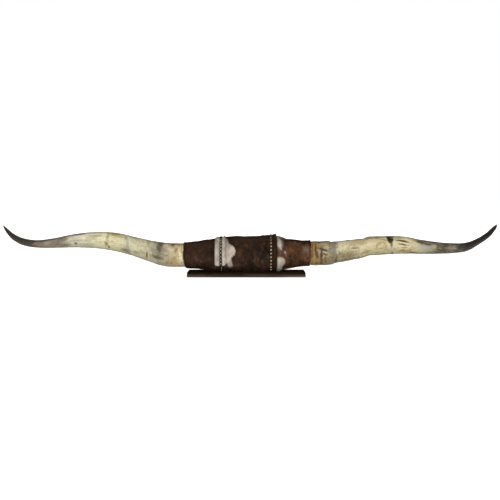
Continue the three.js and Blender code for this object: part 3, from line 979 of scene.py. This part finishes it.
def growHair(name, skin, material, seed, length, slant, density):
    low, high = hairLook["lift"]
    values = {"Density": float(density), "Seed": seed, "Hair Length": length * mm, "Slant": slant,
              "Hair Width": hairLook["width"] * mm, "Lift Low": math.radians(low),
              "Lift High": math.radians(high), "Blade": blade, "Material": material}
    hair = nodesToMesh(name, skin, hairTree, values)
    mapHairs(hair)
    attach(hair, "root")


def makePanel(name, node, panel, slant):
    material = makeHideMaterial(name + "Hide", panel)
    skin = makeSkin(name, panel, material)
    growHair(name + "Hair", skin, material, panel["seed"], hairLook["length"], slant,
             hairLook["density"])
    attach(skin, "root")
    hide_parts(node)


makePanel("leftCuff", "left_cuff", leftCuff, -0.25)
makePanel("centreHide", "centre_hide", centreHide, 0.3)
makePanel("rightCuff", "right_cuff", rightCuff, 0.25)
print("hide panels haired")


# strips laid round the cover

def sweepStrip(name, centreX, section, turns, material, taper=0.0, waver=0.0):
    # section is a loop of (across, lift) in millimetres, carried round the cover from turn to turn
    across, lift = np.array(section, float).T
    edges = np.where(abs(across) > 8, np.sign(across), 0)
    low = lift.min()
    rings = []
    for i, turn in enumerate(turns):
        fromEnd = min(i, len(turns) - 1 - i)
        share = 1 - taper * math.exp(-fromEnd ** 2 / 3)
        stray = waver * noise.noise(Vector((turn / 9, 2, 0)))
        x = centreX + across * share + edges * stray
        rings.append(coverPoint("left", x, np.full(len(across), turn), low + (lift - low) * share))
    points = np.concatenate(rings)
    faces = gridFaces(len(rings), len(section)) + endFaces(len(points), len(section))
    piece = meshObject(name, points, faces, material)
    outward(piece)
    return piece, points


whiteBand = {"from": -119.5, "to": -80, "reach": 123, "steps": 150, "thickness": 2.0, "groove": 0.5,
             "hair": 8.0, "bareEnd": 4, "laceX": -96.5, "laceHalf": 7.5, "seed": 21,
             "brown": ("b3a497", "d8c9b9", "f3eadd"),
             "patches": [mark(-115, 125, 14, 30, "c3a99b", 0.5, edge=0.8),
                         mark(-107, 88, 12, 60, "92867a", 0.4, edge=0.8)]}


def bandSection():
    # low crown with round edges, drawn in along the lacing
    half = (whiteBand["to"] - whiteBand["from"]) / 2
    laceAt = whiteBand["laceX"] - whiteBand["to"] + half
    over = []
    for a in np.linspace(-1, 1, 27):
        edge = math.sqrt(max(0.0, 1 - abs(a) ** 7))
        groove = whiteBand["groove"] * math.exp(-((a * half - laceAt) / 6) ** 2)
        over.append((a * half, 0.2 + whiteBand["thickness"] * edge - groove))
    under = [(a * half * 0.97, -1.4) for a in (0.97, 0.5, 0.0, -0.5, -0.97)]
    return over + under


def makeWhiteBand():
    material = makeHideMaterial("whiteHide", whiteBand)
    turns = np.linspace(-whiteBand["reach"], whiteBand["reach"], whiteBand["steps"])
    centreX = (whiteBand["from"] + whiteBand["to"]) / 2
    section = bandSection()
    band, points = sweepStrip("whiteBand", centreX, section, turns, material, 0.3, 1.6)
    across, lift = np.array(section).T
    pressed = abs(across + centreX - whiteBand["laceX"]) < whiteBand["laceHalf"]  # flat under the lacing
    hairy = np.tile(np.where((lift > lift.max() - 1.5) & ~pressed, 1.0, 0.0), len(turns))
    bare = whiteBand["bareEnd"] * len(section)  # hair there would hang past the ends
    hairy[:bare] = hairy[-bare:] = 0
    # the skin left bare under the lacing gets a high shade value and reads pale: painted light against the
    # strands' shadow
    addAttributes(band.data, {"straight": straighten("left", points), "shade": np.full(len(points), 0.6),
                              "hairy": hairy})
    growHair("whiteBandHair", band, material, whiteBand["seed"], whiteBand["hair"], 0.15,
             hairLook["density"] * 1.3)
    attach(band, "root")
    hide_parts("white_band")


makeWhiteBand()
dropObject(blade)
print("white band laid")


# leather: the dark binding, the lacing thongs and the pale stitches

def makeLeatherGroup():
    inputs = {"Place": "Vector", "Scale": 900.0, "Low": "Color",
              "High": "Color", "Smooth": 0.5, "Rough": 0.7}
    outputs = {"Colour": "Color", "Gloss": "Float", "Height": "Float"}
    tree, given = newTree("leatherGrain", "ShaderNodeTree", inputs, outputs)
    cloud = grain(given["Place"], given["Scale"] / 9.0, 4.0)
    cells = {"Vector": given["Place"], "Scale": given["Scale"]}
    cells = wire(tree, "ShaderNodeTexVoronoi", cells, "Distance")
    base = blendColour(remap(cloud, 0.3, 0.7), given["Low"], given["High"])
    base = blendColour(remap(cells, 0.25, 0.65, 0.0, 0.25), base, given["Low"])
    gloss = remap(cloud, 0.3, 0.7, given["Smooth"], given["Rough"])
    return endTree(tree, Colour=base, Gloss=gloss, Height=cloud - cells * 0.6)


leatherGroup = makeLeatherGroup()


def makeLeather(name, tones, roughness, scale, upperShade=None):
    material, tree = newMaterial(name)
    low, high = [colour(t) for t in tones]
    place = wire(tree, "ShaderNodeTexCoord", None, "Object")
    grained = useGroup(tree, leatherGroup, {
        "Place": place, "Scale": scale, "Low": low, "High": high, "Smooth": roughness - 0.1,
        "Rough": roughness + 0.12})
    base = grained["Colour"]
    if upperShade:
        # painted shade: darker towards the top, as if in shadow
        share = remap(axes(place)[2], upperShade["from"] * mm, upperShade["to"] * mm, 0.0, upperShade["share"])
        base = blendColour(share, base, colour(upperShade["tone"]))
    return setSurface(material, base, grained["Gloss"], 0.1, bump(grained["Height"], 0.4, 0.0006))


binding = {"from": 89, "to": 116.2, "x": 102.6, "reach": 144, "steps": 190, "tones": ("1b1004", "35220c")}


def bindingSection():
    # thin flange for the stitches, a stitched-down step, then a rolled edge over the seam
    left, right = binding["from"] - binding["x"], binding["to"] - binding["x"]
    flange = ((0, 0.4), (0.3, 1.6), (1.2, 2.3), (4, 2.5), (9, 2.5), (11.5, 2.3), (12.6, 1.9))
    over = [(left + across, lift) for across, lift in flange]
    rollFrom = left + 13.2
    for a in np.linspace(0, math.pi, 13):
        across = (rollFrom + right) / 2 - math.cos(a) * (right - rollFrom) / 2
        over.append((across, 1.4 + 2.8 * math.sin(a) ** 0.7))
    return over + [(right - 0.6, -1.6), (0, -1.8), (left + 0.6, -1.4)]


def makeBinding():
    material = makeLeather("darkLeather", binding["tones"], 0.6, 900)
    turns = np.linspace(-binding["reach"], binding["reach"], binding["steps"])
    piece = sweepStrip("seamBinding", binding["x"], bindingSection(), turns, material, 0.25)[0]
    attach(piece, "root")
    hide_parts("binding")


makeBinding()


def makeRepeatTree():
    inputs = {"Geometry": "Geometry", "Pitch": 0.0135, "Shape": "Object",
              "Turn Spread": 0.1, "Size Spread": 0.1, "Seed": 1,
              "Material": "Material"}
    tree, given = newTree("repeatOnPath", "GeometryNodeTree", inputs, {"Geometry": "Geometry"})
    curve = wire(tree, "GeometryNodeMeshToCurve", {0: given["Geometry"]})
    curve = wire(tree, "GeometryNodeResampleCurve", {"Curve": curve, "Length": given["Pitch"]}, mode="LENGTH")
    spin = randomBetween(given["Turn Spread"] * -1.0, given["Turn Spread"], given["Seed"])
    onward = wire(tree, "GeometryNodeInputTangent")
    facing = faceAndTurn(named(tree, "away", "FLOAT_VECTOR"), onward, {2: spin})
    size = randomBetween(1.0 - given["Size Spread"], given["Size Spread"] + 1.0, given["Seed"] + 9.0)
    return endGeometry(copiesOn(curve, given["Shape"], facing, size), given["Material"])


repeatTree = makeRepeatTree()


def repeatRound(name, spec, shape, material):
    # copies along a path round the cover that knows which way is away from it
    pathSteps, above = 160, 5
    turns = np.linspace(-spec["reach"], spec["reach"], pathSteps)
    x = np.full(pathSteps, float(spec["x"]))
    points = coverPoint("left", x, turns, spec["lift"])
    away = coverPoint("left", x, turns, spec["lift"] + above) - points
    path = lineObject(points, {"away": away / np.linalg.norm(away, axis=1, keepdims=True)})
    values = {"Pitch": spec["pitch"] * mm, "Turn Spread": spec["turnSpread"],
              "Size Spread": spec["sizeSpread"], "Seed": spec["seed"], "Shape": shape, "Material": material}
    piece = nodesToMesh(name, path, repeatTree, values)
    dropObject(path)
    dropObject(shape)
    return piece


# the stitches nearer the top take painted shade
stitch = {"x": 94, "width": 5.6, "length": 6.2, "rise": 1.6, "pitch": 13.5, "reach": 138, "lift": 2.4,
          "turnSpread": 0.12, "sizeSpread": 0.07, "seed": 6, "tones": ("a8967a", "e2d6be"),
          "upperShade": {"from": 118, "to": 142, "share": 0.75, "tone": "6e5f48"}}


def makeStitchShape():
    # a bit of flat thong that comes up through the leather and goes down again
    rows, columns = 9, 8
    points = []
    for i in range(rows):
        t = i / (rows - 1) * 2 - 1
        rise = stitch["rise"] * math.sqrt(max(0.0, 1 - t * t)) - 0.3
        wide = stitch["width"] / 2 * (0.82 + 0.18 * math.sqrt(1 - t * t * 0.98))
        for j in range(columns):
            a = 2 * math.pi * j / columns
            across = wide * math.copysign(abs(math.cos(a)) ** 0.6, math.cos(a))
            points.append((across * mm, t * stitch["length"] / 2 * mm, (rise - 0.7 + 0.7 * math.sin(a)) * mm))
    shape = meshObject("stitchShape", points, gridFaces(rows, columns) + endFaces(len(points), columns))
    outward(shape)
    return shape


def makeStitches():
    material = makeLeather("paleThong", stitch["tones"], 0.6, 1100, stitch["upperShade"])
    piece = repeatRound("runningStitch", stitch, makeStitchShape(), material)
    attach(piece, "root")
    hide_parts("running_stitch")


makeStitches()

lacing = {"x": -96.5, "across": 6.2, "width": 5.6, "thickness": 1.6, "pitch": 13.5, "reach": 119, "lift": 2.6,
          "turnSpread": 0.04, "sizeSpread": 0.0, "seed": 4, "tones": ("060402", "130e07"),
          "end": {"x": -94, "width": 3.5, "fromTurn": 118, "toTurn": 145, "tones": ("6a6456", "aaa292")}}


def makeCrossShape():
    # two thongs from hole to hole, one over the other
    points, faces = [], []
    steps, sides = 13, 10
    for side, over in ((1, 0.0), (-1, 1.1)):
        first = len(points)
        start = Vector((-side * lacing["across"], -lacing["pitch"] / 2, 0))
        run = -2 * start
        aside = Vector((run.y, -run.x, 0)).normalized()
        for i in range(steps):
            t = i / (steps - 1)
            centre = start + run * t
            arch = math.sin(math.pi * t)
            rise = 1.2 * arch ** 0.5 - 0.9 + over * math.exp(-((t - 0.5) / 0.18) ** 2)
            wide = lacing["width"] / 2 * (0.4 + 0.6 * arch)
            for j in range(sides):
                a = 2 * math.pi * j / sides
                spot = centre + aside * (wide * math.cos(a))
                spot.z = rise + lacing["thickness"] / 2 * math.sin(a)
                points.append(spot * mm)
        strand = gridFaces(steps, sides) + endFaces(steps * sides, sides)
        faces += [tuple(first + k for k in face) for face in strand]
    shape = meshObject("crossShape", points, faces)
    outward(shape)
    return shape


def makeLacing():
    material = makeLeather("laceThong", lacing["tones"], 0.7, 1100)
    crosses = repeatRound("crossLacing", lacing, makeCrossShape(), material)
    end = lacing["end"]
    turns = np.linspace(end["fromTurn"], end["toTurn"], 14)
    angles = np.linspace(0, 2 * math.pi, 12, endpoint=False)
    section = [(end["width"] / 2 * math.cos(a), 1.6 + 0.8 * math.sin(a)) for a in angles]
    worn = makeLeather("wornThong", end["tones"], 0.6, 1100)
    tail = sweepStrip("laceEnd", end["x"], section, turns, worn)[0]
    for piece in (crosses, tail):
        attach(piece, "root")
    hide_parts("cross_lacing")


makeLacing()
print("seams laced, bound and stitched")


# board: chamfered, edges softened, dark stain with grain showing along it, the top darkened further by
# painted shade

board = {"bevel": 1.3, "topStainAndShade": ("17110b", "32251a"), "lower": ("241c17", "4a3d35"),
         "foot": ("463b33", "86766a"), "edge": "4a3d31", "faceTop": 0.0125, "specular": 0.0}


def makeBoardMaterial():
    material, tree = newMaterial("stainedWood")
    place = wire(tree, "ShaderNodeTexCoord", None, "Object")
    warp = grain(place, 6.0, 2.0, (0.6, 4, 4)) * 0.02
    bent = vecCalc("ADD", place, combine(tree, {1: warp, 2: warp}))
    rings = grain(bent, 90.0, 4.0, (0.04, 1, 1))
    pores = grain(bent, 420.0, 3.0, (0.03, 1, 1))
    figure = rings * 0.65 + pores * 0.35
    share = remap(figure, 0.35, 0.68)
    topStainAndShade, lower, foot = [blendColour(share, colour(dark), colour(light))
                          for dark, light in (board["topStainAndShade"], board["lower"], board["foot"])]
    # the top and chamfer are darker than the sawn sides, partly dark stain and partly painted shade of the
    # cover; the sides grow lighter towards the foot and carry a lighter line along their top edge
    height = (rings - 0.5) * 0.002 + axes(place)[2]
    lower = blendColour(remap(height, 0.001, 0.010, 1.0, 0.0), lower, foot)
    top = board["faceTop"]
    base = blendColour(remap(height, top - 0.001, top + 0.001, 1.0, 0.0), topStainAndShade, lower)
    # painted highlight, partly worn edge: a lighter line along the sides' top edge
    rubbedEdgeAndHighlight = remap(height, top - 0.004, top - 0.0015) * remap(height, top - 0.0015, top + 0.001, 1.0, 0.0)
    rubbedEdgeAndHighlight = rubbedEdgeAndHighlight * remap(grain(place, 35.0, 4.0), 0.35, 0.65)
    base = blendColour(rubbedEdgeAndHighlight, base, colour(board["edge"]))
    gloss = remap(pores, 0.3, 0.7, 0.7, 0.95)
    return setSurface(material, base, gloss, board["specular"], bump(figure, 0.35, 0.0006))


def makeBoard():
    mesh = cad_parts["board"].data.copy()
    mesh.materials.clear()
    shape = bmesh.new()
    shape.from_mesh(mesh)
    bmesh.ops.remove_doubles(shape, verts=shape.verts, dist=0.00002)
    bmesh.ops.dissolve_limit(shape, angle_limit=math.radians(2), verts=shape.verts, edges=shape.edges)
    bmesh.ops.bevel(shape, geom=shape.edges[:], offset=board["bevel"] * mm, segments=3, affect="EDGES",
                    profile=0.5)
    shape.to_mesh(mesh)
    shape.free()
    mesh.materials.append(makeBoardMaterial())
    mesh.shade_smooth()
    mesh.name = "standBoard"
    piece = showObject("standBoard", mesh)
    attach(piece, "root")
    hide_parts("board")


makeBoard()
print("board made")
